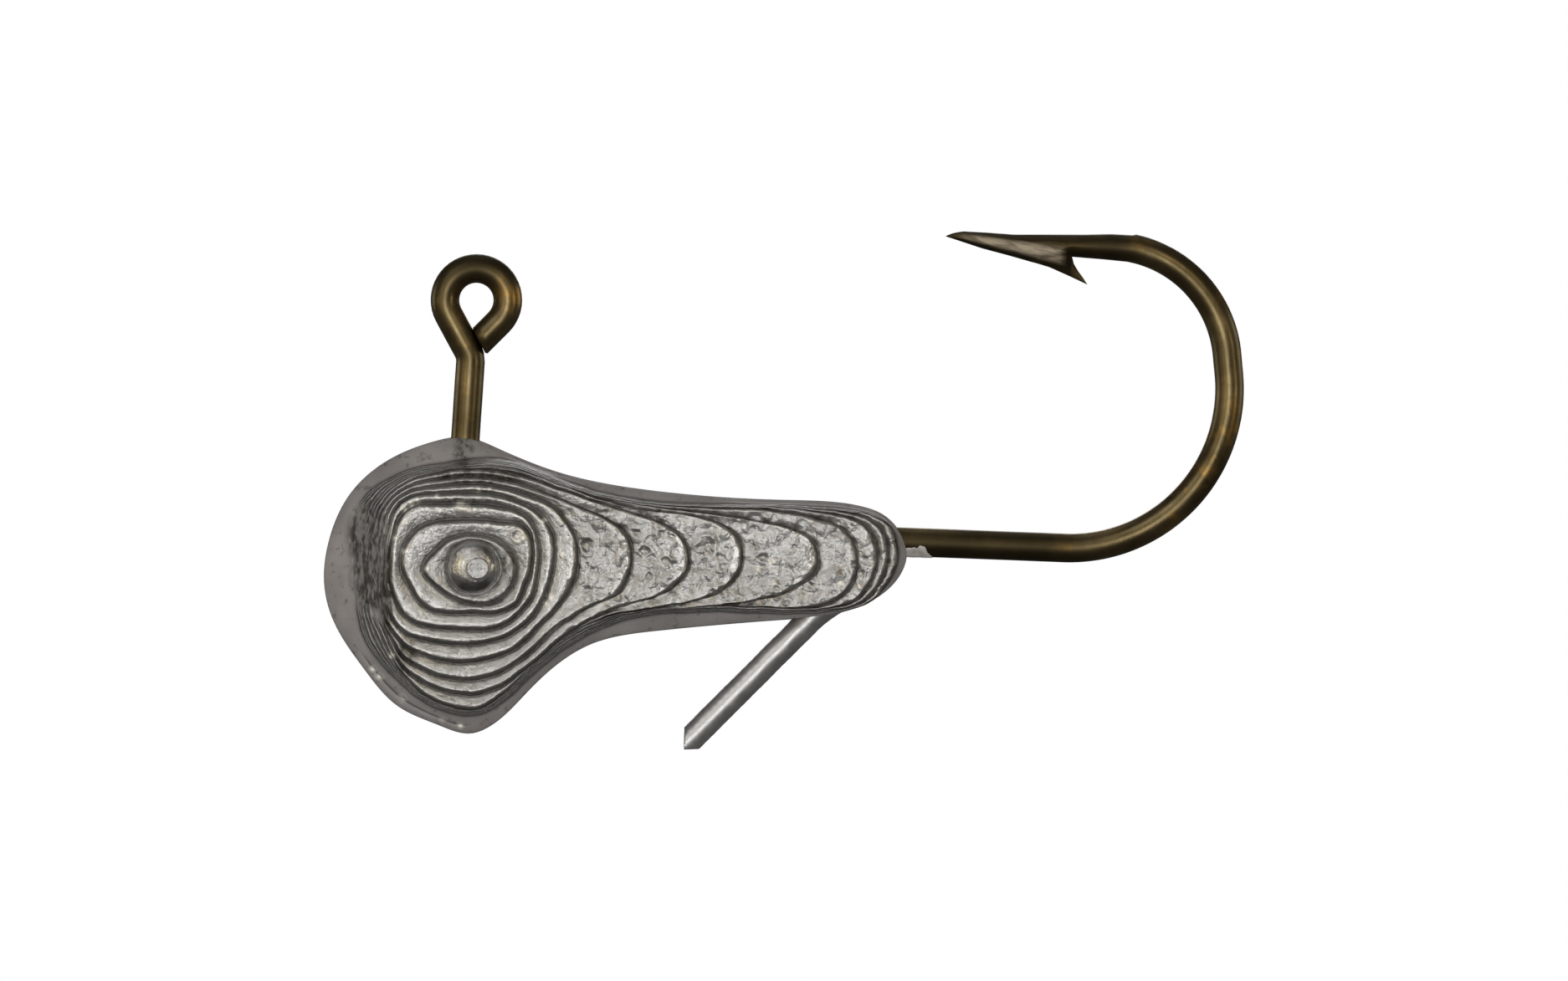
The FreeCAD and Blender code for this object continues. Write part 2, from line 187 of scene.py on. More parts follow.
SMUDGES_AND_SHADE = [
    (-4.25, -9.3, 0.95, 1.5, 0.85), (-4.12, -10.8, 0.9, 1.6, 0.85), (-3.42, -11.3, 0.34, 2.2, 1.0),
    (-0.48, -5.9, 0.42, 1.05, 0.75), (-4.0, -11.75, 0.55, 0.5, 1.0),
    (1.36, -10.55, 0.34, 0.95, 0.6), (0.3, -11.85, 1.0, 0.24, 0.5), (-2.75, -14.05, 0.5, 0.95, 0.7),
    (0.0, -6.95, 2.4, 0.4, 0.7), (-0.1, -7.92, 1.3, 0.16, 0.7)]

# ---- sizes of the hook
WIRE_R = 0.57
EYE_R = 1.24
EYE_CUT_TURN = -45.0
EYE_CUT_LENGTH = 0.62  # straight, up to the cut end
CUT_BEVEL = 0.86
CUT_BULGE = 0.05
CUT_SLANT = 0.155
EYE_STEM_TURN = 208.0
STEM_KINK = (-0.22, -2.21)
STEM_CORNER_X = -0.66
STEM_BEND_R = 0.8
SHANK_BEND_R = 1.6
SHANK_SLOPE = -0.0385
SHANK_POINT = (17.51, -9.57)
BEND_CENTRE = (23.41, -3.50)
BEND_R = 6.29
BEND_EXIT_TURN = 5.0
THROAT_CENTRE = (24.92, -2.565)
THROAT_R = 4.70
THROAT_EXIT_TURN = 78.0
WIRE_SPACING = 0.16
WIRE_AROUND = 40
WIRE_UNEVEN = 0.006
TIP_X = 18.52
POINT_RINGS = 62
FORGED_X = (24.6, 22.0)  # here the round section passes towards a diamond
FORGED_EXPONENT = 0.72  # how far its exponent falls from 2
GROUND_X = (23.3, 22.5)  # here its flanks are ground flat
GROUND_DEPTH = 0.36
POINT_TOP = [
    (18.52, 2.53), (18.8, 2.64), (19.18, 2.71), (20.1, 2.66), (21.2, 2.58), (24.04, 2.58),
    (25.0, 2.6), (25.9, 2.55)]
POINT_FOOT = [
    (18.52, 2.5), (19.94, 2.03), (20.99, 1.75), (22.0, 1.46), (22.9, 1.55), (23.46, 1.7),
    (24.67, 1.6), (25.9, 1.49)]
POINT_PLAN = [
    (18.52, 0.02), (19.2, 0.22), (20.3, 0.38), (21.5, 0.5), (23.0, 0.55), (25.9, 0.56)]
BARB = [
    (21.9, 1.5), (22.6, 1.29), (23.4, 0.93), (24.1, 0.6), (23.92, 0.88), (23.74, 1.12),
    (23.56, 1.42), (23.48, 1.74), (23.4, 2.05), (22.4, 2.05)]
BARB_TIP = 3  # the point of it that is the tip

# ---- the film of lead under the shank
SPLASH_START = 16.5
SPLASH_END = 18.0
SPLASH_THICK = 0.03
SPLASH_ROOT = 0.02  # how far it is sunk into the wire
SPLASH_GAP = 0.004
SPLASH_TURN = (70, 34)  # reach up the wire and its raggedness, in degrees
SPLASH_AROUND = 26
SPLASH_RINGS = 44

# ---- sizes of the keeper
KEEPER_R = 0.52
KEEPER_ROOT = (14.15, -11.62)
KEEPER_TIP = (8.62, -17.15)
KEEPER_FLARE = 0.25  # the fillet into the tail, on its back side only
KEEPER_FLARE_LENGTH = 1.6
KEEPER_NIP_X = 8.20  # two nipped facets: an upright one
KEEPER_NIP_Z = -17.72  # and a level one
KEEPER_BEAD = 0.33  # spacing of the faint rings along it
KEEPER_BEAD_HEIGHT = 0.0028
KEEPER_UNEVEN = 0.012
KEEPER_OVERRUN = 0.95  # run past the tip, for the nips to cut
KEEPER_NIP_SLOPE = 0.04
KEEPER_AROUND = 48
KEEPER_RINGS = 170

# ---- lamps, in metres
LAMP_TARGET = (0.0, 0.0, -0.010)

# ---- materials
X_AXIS = (1, 0, 0)
Z_AXIS = (0, 0, 1)
# Colours of the finishes, dark and light, and of painted shade and painted highlights.
TREAD_LEAD = (0.44, 0.433, 0.423), (0.605, 0.598, 0.588)
TREAD_GRAIN = (0.24, 0.23, 0.215)
TREAD_STAIN = (0.52, 0.47, 0.37)
MARGIN_LEAD = (0.385, 0.362, 0.362), (0.505, 0.482, 0.478)
MARGIN_PORE = (0.11, 0.095, 0.085)
# Painted shade, and the dark of smudges.
SMUDGE_SHADE = (0.075, 0.068, 0.058)
# Painted shade in the grooves and on the eye.
GROOVE_SHADE = (0.044, 0.037, 0.031)
# Rubbed crests, partly worn bright and partly painted highlight.
WORN_AND_HIGHLIGHT_LEAD = (0.80, 0.77, 0.70)
# Bright chips, and painted glints on the beads.
CHIP_AND_GLINT_LEAD = (0.97, 0.94, 0.86)
KEEPER_LEAD = (0.62, 0.615, 0.61), (0.74, 0.735, 0.73)
SPLASH_LEAD = (0.46, 0.443, 0.424), (0.80, 0.783, 0.760)
BRONZE = (0.124, 0.094, 0.045), (0.188, 0.142, 0.069), (0.300, 0.228, 0.108)
BRONZE_WORN = (0.40, 0.235, 0.065)
# Darker, duller lacquer on the shank and behind the point.
DARKER_LACQUER = (0.050, 0.039, 0.020)
GROUND_STEEL = (0.50, 0.415, 0.305)
FLOOR = (0.86, 0.86, 0.86), (0.88, 0.88, 0.88)
ROOM = (0.075, 0.073, 0.072, 1)
WARM = (1.0, 0.88, 0.66)


# ---- outlines
class Ring:
    """A closed smooth curve through points."""

    def __init__(self, points):
        self.points = np.array(points, float)
        count = len(points)
        ahead = np.roll(self.points, -1, 0)
        self.gaps = np.linalg.norm(ahead - self.points, axis=1)
        self.knots = np.concatenate([[0.0], np.cumsum(self.gaps)])
        slopes = (ahead - self.points) / self.gaps[:, None]
        matrix = np.zeros((count, count))
        for i in range(count):
            before = self.gaps[i - 1]
            matrix[i, i - 1] = before
            matrix[i, i] = 2 * (before + self.gaps[i])
            matrix[i, (i + 1) % count] = self.gaps[i]
        self.curl = np.linalg.solve(matrix, 6 * (slopes - np.roll(slopes, 1, 0)))

    def at(self, where):
        """Points of the curve at distances along its chords."""
        where = np.mod(where, self.knots[-1])
        i = np.clip(np.searchsorted(self.knots, where, "right") - 1, 0, len(self.points) - 1)
        j = (i + 1) % len(self.points)
        gap = self.gaps[i][:, None]
        u = (where - self.knots[i])[:, None] / gap
        v = 1 - u
        bulge = ((v ** 3 - v) * self.curl[i] + (u ** 3 - u) * self.curl[j]) * gap ** 2 / 6
        return v * self.points[i] + u * self.points[j] + bulge

    def nearest(self, targets, samples=4000):
        """Where the curve comes closest to each target, in rising order."""
        length = self.knots[-1]
        steps = np.linspace(0, length, samples, endpoint=False)
        curve = self.at(steps)
        found = np.array([steps[np.argmin(np.sum((curve - t) ** 2, axis=1))] for t in targets])
        for k in range(1, len(found)):
            while found[k] < found[k - 1] - length / 2:
                found[k] += length
            found[k] = max(found[k], found[k - 1])
        return found


def fade(value, low, high):
    """0 to 1 as a value goes from low to high."""
    return np.clip((value - low) / (high - low), 0, 1)


def blend(first, second, share):
    """An outline part of the way from one to the next."""
    first, second = np.array(first), np.array(second)
    return first + (second - first) * share


def terrace_outlines():
    """The terraces from the margin up."""
    second = blend(FOURTH, MARGIN, 0.77)
    third = blend(FOURTH, MARGIN, 0.50)
    upper = [FIFTH, SIXTH, SEVENTH, EIGHTH, NINTH, TENTH, ELEVENTH, CROWN]
    return [MARGIN, second, third, FOURTH] + upper


def anchored(points, anchors):
    """A ring through points, and where along it each anchor lies."""
    ring = Ring(points)
    marks = ring.nearest(np.array(anchors))
    return ring, np.append(marks, marks[0] + ring.knots[-1])


def matched_samples(points, anchors, stations):
    """An outline sampled beside another, so that rings between them do not twist."""
    ring, marks = anchored(points, anchors)
    return ring.at(np.interp(stations, np.arange(len(marks)), marks))


def station_samples():
    """The stations at which every outline is sampled, even along the rim."""
    marks = anchored(SILHOUETTE, MARGIN)[1]
    samples = []
    for k in range(len(MARGIN)):
        pieces = 2 * max(3, round((marks[k + 1] - marks[k]) / RING_SPACING / 2))
        samples.append(k + np.arange(pieces) / pieces)
    return np.concatenate(samples)


# ---- casting
class Skin:
    """Rows of vertices from the rim of one side in to its eye."""

    def __init__(self):
        self.rows = []
        self.marks = []

    def add(self, flat, height, groove=0.0, margin=0.0, slope=None, crest=0.0):
        """One closed row with its marks of painted shade, margin, slope and crest rub with painted
        highlight; slope is its height on a flank without terraces.
        """
        plain = height if slope is None else slope
        self.rows.append(np.column_stack([flat, np.broadcast_to(height, len(flat))]))
        marks = (groove, margin, plain, crest)
        self.marks.append(np.column_stack([np.broadcast_to(value, len(flat)) for value in marks]))


def outward(flat):
    """Unit normals that point out of a closed outline."""
    along = np.roll(flat, -1, 0) - np.roll(flat, 1, 0)
    along /= np.linalg.norm(along, axis=1)[:, None]
    area = np.sum(flat[:, 0] * np.roll(flat[:, 1], -1) - np.roll(flat[:, 0], -1) * flat[:, 1])
    return np.column_stack([along[:, 1], -along[:, 0]]) * np.sign(area)


def step_rows(skin, outer, inner, foot, base, rise, treads, wear_and_highlight=1.0, shade_strength=1.0):
    """One step: a rounded riser, a crowned tread, and the next groove, whose height it returns."""
    gap = inner - outer
    reach = np.maximum(np.linalg.norm(gap, axis=1), 1e-6)
    share = np.minimum(RISER_WIDTH / reach, RISER_SHARE)
    squeezed = np.clip(0.35 + 1.6 * reach, 0, 1)
    spread = np.interp(outer[:, 0], NECK, (HEAD_GROOVE, TAIL_GROOVE))
    drop = np.minimum(CROWN_DROP, 0.08 * reach)
    top = base + rise
    end = top - drop - GROOVE_DEPTH

    def row(part, height, crest=0.0):
        place = part * reach
        near = np.minimum(place / OUTER_GROOVE, reach - place)
        # The dark is painted shade from the groove, stronger where the steps crowd together.
        dark = np.clip(1 - near / spread, 0, 1) ** GROOVE_FADE * squeezed * shade_strength
        flat = outer + gap * part[:, None]
        skin.add(flat, height, dark, slope=base + rise * part, crest=crest * wear_and_highlight)

    for turn, crest in RISER_ARC:
        angle = math.radians(turn)
        row(share * (1 - math.cos(angle)), foot + (top - foot) * math.sin(angle), crest)
    last = np.maximum(1 - spread / reach, share + (1 - share) * 0.6)
    for part in np.linspace(0, 1, treads + 1)[1:]:
        row(share + (last - share) * part, top - drop * part ** 2)
    row(1 - np.minimum(GROOVE_LIP / reach, 0.1), top - drop - 0.4 * GROOVE_DEPTH)
    row(np.ones(len(reach)), end)
    return end


def margin_height(part):
    """Height of the plain margin, part of the way in from the rim."""
    return RIM_HALF + (MARGIN_HALF - RIM_HALF) * part ** MARGIN_CURVE


def margin_rows(skin, rim, foot_line):
    """The sloping margin, from the edge of the rim to the first groove."""
    edge = rim - outward(rim) * RIM_ROUND
    gap = foot_line - edge
    reach = np.linalg.norm(gap, axis=1)
    scored = fade(rim[:, 0], *RIM_LINE_X) * fade(rim[:, 1], *RIM_LINE_Z)
    # Painted shade: faint at the rim's edge, in the scored line, and deepening towards the first
    # groove.
    skin.add(edge, RIM_HALF, groove=FAINT_SHADE, margin=1.0)
    for aside, depth in ((-RIM_LINE_HALF, 0.0), (0.0, RIM_LINE_DEPTH), (RIM_LINE_HALF, 0.0)):
        part = np.minimum((RIM_LINE_INSET + aside - RIM_ROUND) / reach, 0.4 + aside)
        flat = edge + gap * part[:, None]
        skin.add(flat, margin_height(part) - depth * scored, groove=scored * depth * 7, margin=1.0)
    for part in (0.60, 0.72, 0.83, 0.93):
        dark = np.clip(1 - (1 - part) * reach / TAIL_GROOVE, 0, 1) ** 1.2
        skin.add(edge + gap * part, margin_height(part), groove=dark, margin=1.0)
    skin.add(foot_line, MARGIN_HALF - MARGIN_FOOT, groove=1.0, margin=1.0)


def side_rows(stations):
    """The rows of one side, from the rim in to the eye, with positive heights."""
    skin = Skin()
    rings = [Ring(points) for points in terrace_outlines()]
    knots = np.arange(len(MARGIN) + 1)
    terraces = [ring.at(np.interp(stations, knots, ring.knots)) for ring in rings]
    rim = matched_samples(SILHOUETTE, MARGIN, stations)
    margin_rows(skin, rim, terraces[0])
    base = MARGIN_HALF
    foot = np.full(len(rim), MARGIN_HALF - MARGIN_FOOT)
    for k, (outer, inner) in enumerate(zip(terraces, terraces[1:])):
        if k >= HALVED_FROM:
            outer, inner = outer[::2], inner[::2]
        if k == HALVED_FROM:
            foot = foot[::2]
        widest = np.max(np.linalg.norm(inner - outer, axis=1))
        treads = int(np.clip(round(widest / TREAD_STEP), 2, 5))
        wear_and_highlight = LOW_WEAR_AND_HIGHLIGHT if k < LOW_TERRACES else 1.0
        foot = step_rows(skin, outer, inner, foot, base, TERRACE_RISE, treads, wear_and_highlight)
        base += TERRACE_RISE
    pad = matched_samples(EYE_PAD, CROWN, stations[::2])
    foot = step_rows(skin, terraces[-1][::2], pad, foot, base, TERRACE_RISE, 3)
    base += TERRACE_RISE
    eye_rows(skin, pad, foot, base)
    return skin, rim


def eye_rows(skin, pad, foot, base):
    """The eye: a pointed pad and a round dome with a flat top, tiered on its upper front."""
    middle, top = np.array(EYE_MIDDLE), np.array(EYE_TOP)
    bearing = (pad - middle) / np.linalg.norm(pad - middle, axis=1)[:, None]
    front = np.clip(bearing @ np.array(EYE_FRONT), 0, 1) ** 0.7
    sides = np.clip(np.abs(bearing[:, 0]) * 3.2 - 1.9, 0, 1)
    # Painted shade in the pad's groove, faintest towards the lower right.
    shade_strength = np.clip(0.6 - bearing @ np.array(EYE_UNSHADED), 0.25, 1)
    widest = EYE_DOME[0][0]
    around = middle + bearing * widest
    step_rows(skin, pad, around, foot, base, EYE_PAD_RISE, 2, 0.2, shade_strength)
    foot = base + EYE_PAD_RISE - CROWN_DROP - GROOVE_DEPTH
    for radius, height in EYE_DOME[1:]:
        lean = EYE_LEAN * (1 - radius / widest)
        above = fade(radius, EYE_SHOULDER, EYE_SHOULDER + 0.1)
        tier = EYE_STEP_DEPTH * np.sin(radius / EYE_STEP * 2 * math.pi) * front
        tier = tier * above * fade(radius, widest, widest - 0.1)
        flank = above * fade(radius, 1.02, 0.94)
        # Painted shade at the dome's foot, on its upper and lower flanks, and faintly on its flat
        # top.
        dark = np.maximum(fade(height, 0.48, 0), 0.75 * flank * (1 - sides) * (1 - front))
        dark = np.maximum(dark, FAINT_SHADE if radius < 0.42 else 0.0)
        # Painted highlights: glints on the dome's sides and an arc on its upper front.
        glint = flank * sides * fade(radius, 0.95, 0.85)
        arc = np.clip(1 - abs(radius - EYE_ARC) / 0.1, 0, 1) * front
        flat = middle + (top - middle) * lean + bearing * radius
        skin.add(flat, foot + height + tier, groove=dark, crest=np.maximum(glint, arc))
    skin.add(top[None, :], foot + EYE_DOME[-1][1], groove=0.2)


def casting_rows():
    """All rows, from one eye over the parting line to the other."""
    skin, rim = side_rows(station_samples())
    away = outward(rim)
    near, far = ([row * np.array([1, 1, side]) for row in skin.rows] for side in (-1, 1))
    rim_rows = []
    rim_marks = []
    across = RIM_PROFILE + [(0.0, 0.0)] + [(-y, inset) for y, inset in RIM_PROFILE[::-1]]
    # The rim rows carry a faint painted shade.
    for y, inset in across:
        rim_rows.append(np.column_stack([rim - away * inset, np.full(len(rim), y)]))
        rim_marks.append(np.zeros((len(rim), 4)) + (FAINT_SHADE, 1.0, abs(y), 0.0))
    return near[::-1] + rim_rows + far, skin.marks[::-1] + rim_marks + skin.marks


def band_faces(first, second, a, b):
    """Faces between two rows; one may have half as many vertices, or just one."""
    n, m = len(first), len(second)
    if m == 1:
        return [(a + i, b, a + (i + 1) % n) for i in range(n)]
    if n == 1:
        return [(a, b + i, b + (i + 1) % m) for i in range(m)]
    if n == m:
        return [(a + i, b + i, b + (i + 1) % m, a + (i + 1) % n) for i in range(n)]
    faces = []
    for i in range(min(n, m)):
        j, past = 2 * i, (i + 1) % min(n, m)
        if n > m:
            faces.append((a + j, b + i, b + past, a + (j + 2) % n, a + j + 1))
        else:
            faces.append((a + i, b + j, b + j + 1, b + (j + 2) % m, a + past))
    return faces


def ripple(points, frequency, seed):
    """Smooth noise from about -1 to 1, with waves 1 / frequency millimetres long."""
    moved = points * frequency + np.array((seed, 0.0, 0.0))
    return np.array([noise.noise(Vector(point)) for point in moved])


def patches(x, z, spots):
    """How far each point lies in soft-edged ovals, from 0 to 1."""
    inside = np.zeros(len(x))
    for centre_x, centre_z, long, high, strength in spots:
        away = ((x - centre_x) / long) ** 2 + ((z - centre_z) / high) ** 2
        inside = np.maximum(inside, strength * np.clip(1.6 - 1.6 * away, 0, 1))
    return inside


def craters(x, z, spots):
    """Depth of small pits with a slightly raised lip."""
    depth = np.zeros(len(x))
    for centre_x, centre_z, radius in spots:
        away = np.hypot(x - centre_x, z - centre_z) / radius
        pit = np.exp(-1.6 * away ** 2)
        lip = 0.45 * np.exp(-7 * (away - 1.15) ** 2)
        depth += PIT_DEPTH * radius * (pit - lip)
    return depth


def beads(x, z, spots):
    """Height of small beads, and how bright they make each point, as bright chips and painted
    glints.
    """
    height = np.zeros(len(x))
    chip_and_glint = np.zeros(len(x))
    for centre_x, centre_z, radius in spots:
        bump = np.exp(-((x - centre_x) ** 2 + (z - centre_z) ** 2) / (0.7 * radius ** 2))
        height += BEAD_HEIGHT * radius * bump
        chip_and_glint = np.maximum(chip_and_glint, np.clip(1.5 * bump, 0, 1))
    return height, chip_and_glint


def tail_pits():
    """Where the small pits of the tail lie."""
    draw = np.random.default_rng(11)
    count = 120
    places = draw.uniform(3.2, 16.2, count), draw.uniform(-12.0, -8.3, count)
    return list(zip(*places, draw.uniform(0.10, 0.20, count)))


def read_values(mesh, name):
    values = np.empty(len(mesh.vertices))
    mesh.attributes[name].data.foreach_get("value", values)
    return values


def write_values(mesh, name, values):
    """Sets one number for each vertex."""
    layer = mesh.attributes.get(name) or mesh.attributes.new(name, "FLOAT", "POINT")
    layer.data.foreach_set("value", values)


def unevenness(flat, terrace, tail, scuff):
    """A slow swell, a lumpy tail and a torn, scuffed front."""
    rough = 0.012 * ripple(flat, 0.9, 7) + 0.010 * ripple(flat, 2.4, 3) * terrace
    rough += tail * (0.034 * ripple(flat, 1.7, 15) + 0.026 * ripple(flat, 3.3, 9))
    rough += scuff * (0.09 * ripple(flat * (1, 0.45, 1), 3.2, 51) + 0.05 * ripple(flat, 5.0, 27))
    return rough


def waver(flat, seeds):
    """How far the grooves stray from their smooth outlines."""
    return 0.05 * ripple(flat, 1.1, seeds[0]) + 0.018 * ripple(flat, 3.1, seeds[1])


def roughen(obj):
    """Adds wavering grooves, pits, beads and the scuffed front."""
    mesh = obj.data
    place = np.empty(len(mesh.vertices) * 3)
    mesh.vertices.foreach_get("co", place)
    x, y, z = place.reshape(-1, 3).T / MM
    groove, margin, slope = (read_values(mesh, name) for name in ("groove", "margin", "slope"))
    side = np.where(y > 0, 1.0, -1.0)
    lift = fade(np.abs(y), RIM_HALF, RIM_HALF + LIFT_FADE)
    flat = np.column_stack([x, z, side * 3])
    scuff = patches(x, z, SCUFFS) * lift
    smudge_and_shade = patches(x, z, SMUDGES_AND_SHADE)
    terrace = 1 - np.clip(margin, 0, 1)
    tail = fade(x, TAIL_START, TAIL_START + TAIL_FADE) * terrace
    bumps, chip_and_glint = beads(x, z, BEADS)
    rough = unevenness(flat, terrace, tail, scuff) + bumps
    rough -= craters(x, z, CRATERS) * terrace + craters(x, z, tail_pits()) * tail
    plain = MARGIN_HALF + np.clip(slope - MARGIN_HALF, 0, None) ** 1.5 / HOLLOW_FRONT ** 0.5
    height = np.abs(y) + (plain - np.abs(y)) * scuff * terrace
    x = x + lift * waver(flat, (0, 19))
    z = z + lift * waver(flat, (40, 77))
    place = np.column_stack([x, side * (height + lift * rough), z]) * MM
    mesh.vertices.foreach_set("co", place.ravel())
    # The grooves' painted shade fades on the scuffed front; smudges with their painted shade and
    # the beads' glints go to the material.
    write_values(mesh, "groove", groove * (1 - 0.95 * scuff))
    write_values(mesh, "margin", np.maximum(margin, 0.8 * scuff))
    write_values(mesh, "smudge_and_shade", smudge_and_shade)
    write_values(mesh, "chip_and_glint", chip_and_glint)
    mesh.attributes.remove(mesh.attributes["slope"])
    mesh.update()


def split_long_edges(obj):
    """Halves the long edges on the treads until they can carry the pits and beads."""
    mesh = bmesh.new()
    mesh.from_mesh(obj.data)
    spots = np.array(BEADS + CRATERS)
    spot_x, spot_z, spot_reach = spots[:, 0], spots[:, 1], spots[:, 2] * 1.5 + 0.05
    for again in range(3):
        long = []
        for edge in mesh.edges:
            first, second = (vertex.co / MM for vertex in edge.verts)
            length = (first - second).length
            if min(abs(first.y), abs(second.y)) < 0.9 or length < LONGEST_SPOT_EDGE:
                continue
            middle = (first + second) / 2
            near = np.hypot(spot_x - middle.x, spot_z - middle.z) < spot_reach
            limit = LONGEST_TAIL_EDGE if first.x > TAIL_START else LONGEST_EDGE
            if near.any() or (length > limit and again < 2):
                long.append(edge)
        bmesh.ops.subdivide_edges(mesh, edges=long, cuts=1, use_grid_fill=True)
    mesh.to_mesh(obj.data)
    mesh.free()


def new_object(name, vertices, faces):
    """A smooth-shaded object in the scene, with vertices in metres."""
    mesh = bpy.data.meshes.new(name)
    mesh.from_pydata([tuple(v) for v in vertices], [], faces)
    mesh.validate()
    mesh.polygons.foreach_set("use_smooth", [True] * len(mesh.polygons))
    obj = bpy.data.objects.new(name, mesh)
    bpy.context.scene.collection.objects.link(obj)
    return obj


def casting():
    """The lead casting, with the marks of its surface on every vertex."""
    rows, marks = casting_rows()
    starts = np.concatenate([[0], np.cumsum([len(row) for row in rows])])
    faces = []
    for k in range(len(rows) - 1):
        faces += band_faces(rows[k], rows[k + 1], int(starts[k]), int(starts[k + 1]))
    points = np.concatenate(rows)
    obj = new_object("casting", points[:, [0, 2, 1]] * MM, faces)
    values = np.concatenate(marks)
    # Columns: painted shade, margin, slope, and crest rub with painted highlight.
    for column, name in enumerate(("groove", "margin", "slope", "crest")):
        write_values(obj.data, name, np.ascontiguousarray(values[:, column]))
    split_long_edges(obj)
    roughen(obj)
    outward_first(obj)
    return obj


def outward_first(obj):
    """Turns every face to look out of the closed mesh."""
    mesh = bmesh.new()
    mesh.from_mesh(obj.data)
    bmesh.ops.recalc_face_normals(mesh, faces=mesh.faces)
    mesh.to_mesh(obj.data)
    mesh.free()


# ---- hook
def on_circle(centre, radius, turn):
    angle = math.radians(turn)
    return np.array((centre[0] + radius * math.cos(angle), centre[1] + radius * math.sin(angle)))


def arc_points(centre, radius, first, last, spacing):
    count = max(2, int(abs(math.radians(last - first)) * radius / spacing))
    return [on_circle(centre, radius, first + (last - first) * k / count) for k in range(count + 1)]


def line_points(start, end, spacing):
    start, end = np.array(start), np.array(end)
    count = max(1, int(np.linalg.norm(end - start) / spacing))
    return [start + (end - start) * k / count for k in range(count + 1)]


def corner_points(before, vertex, after, radius, spacing):
    """Points of the tangent arc that rounds a corner."""
    before, vertex, after = (np.array(p, float) for p in (before, vertex, after))
    back = (before - vertex) / np.linalg.norm(before - vertex)
    ahead = (after - vertex) / np.linalg.norm(after - vertex)
    half = math.acos(float(np.dot(back, ahead))) / 2
    middle = (back + ahead) / np.linalg.norm(back + ahead)
    centre = vertex + middle * radius / math.sin(half)
    start = vertex + back * radius / math.tan(half)
    end = vertex + ahead * radius / math.tan(half)
    one = math.degrees(math.atan2(*(start - centre)[::-1]))
    two = math.degrees(math.atan2(*(end - centre)[::-1]))
    turn = math.remainder(two - one, 360)
    return arc_points(centre, radius, one, one + turn, spacing)


def shank_height(x):
    """Height of the middle of the shank."""
    return SHANK_POINT[1] + SHANK_SLOPE * (x - SHANK_POINT[0])


def wire_route(spacing):
    """The centre line of the wire, from its cut end to the point."""
    leave = on_circle((0, 0), EYE_R, EYE_CUT_TURN)
    cut = leave - EYE_CUT_LENGTH
    onto_stem = on_circle((0, 0), EYE_R, EYE_STEM_TURN)
    first_turn = math.degrees(math.atan(SHANK_SLOPE)) - 90
    bend_start = on_circle(BEND_CENTRE, BEND_R, first_turn)
    foot = (STEM_CORNER_X, shank_height(STEM_CORNER_X))
    runs = [
        line_points(cut, leave, spacing),
        arc_points((0, 0), EYE_R, EYE_CUT_TURN, EYE_STEM_TURN, spacing),
        corner_points(onto_stem, STEM_KINK, foot, STEM_BEND_R, spacing),
        corner_points(STEM_KINK, foot, bend_start, SHANK_BEND_R, spacing),
        arc_points(BEND_CENTRE, BEND_R, first_turn, BEND_EXIT_TURN, spacing),
        arc_points(THROAT_CENTRE, THROAT_R, BEND_EXIT_TURN, THROAT_EXIT_TURN, spacing)]
    route = [runs[0][0]]
    for run in runs:
        for point in line_points(route[-1], run[0], spacing)[1:] + run[1:]:
            if np.linalg.norm(point - route[-1]) > spacing * 0.2:
                route.append(point)
    return np.array(route)


def superellipse(turns, exponent):
    """A section between round, at 2, and a diamond, at 1."""
    c, s = np.cos(turns), np.sin(turns)
    power = 2 / exponent
    return np.sign(c) * np.abs(c) ** power, np.sign(s) * np.abs(s) ** power


def tube_mesh(name, sections):
    """A closed tube through rings of equal length, capped at both ends."""
    ring = len(sections[0])
    faces = []
    for k in range(len(sections) - 1):
        a, b = k * ring, (k + 1) * ring
        faces += [(a + i, a + (i + 1) % ring, b + (i + 1) % ring, b + i) for i in range(ring)]
    faces.append(tuple(range(ring))[::-1])
    last = (len(sections) - 1) * ring
    faces.append(tuple(range(last, last + ring)))
    tube = new_object(name, np.concatenate(sections) * MM, faces)
    outward_first(tube)
    return tube


def round_sections(route, turns):
    """Rings along the route; the first two shape the cut end."""
    along = np.gradient(route, axis=0)
    along /= np.linalg.norm(along, axis=1)[:, None]
    up, across = np.cos(turns), np.sin(turns)
    sections = []
    for place, way in zip(route, along):
        side = np.array((-way[1], way[0]))
        wave = noise.noise(Vector((place[0] * 0.8, place[1] * 0.8, 4.0)))
        radius = WIRE_R * (1 + WIRE_UNEVEN * wave)
        flat = place + np.outer(up * radius, side)
        sections.append(np.column_stack([flat[:, 0], across * radius, flat[:, 1]]))
    first = sections[0]
    middle = first.mean(axis=0)
    bevel = middle + (first - middle) * CUT_BEVEL
    way = np.array((along[0][0], 0, along[0][1]))
    longer = np.outer(CUT_SLANT * (1 - up), way)
    return [bevel - longer - way * CUT_BULGE, first - longer] + sections[1:]


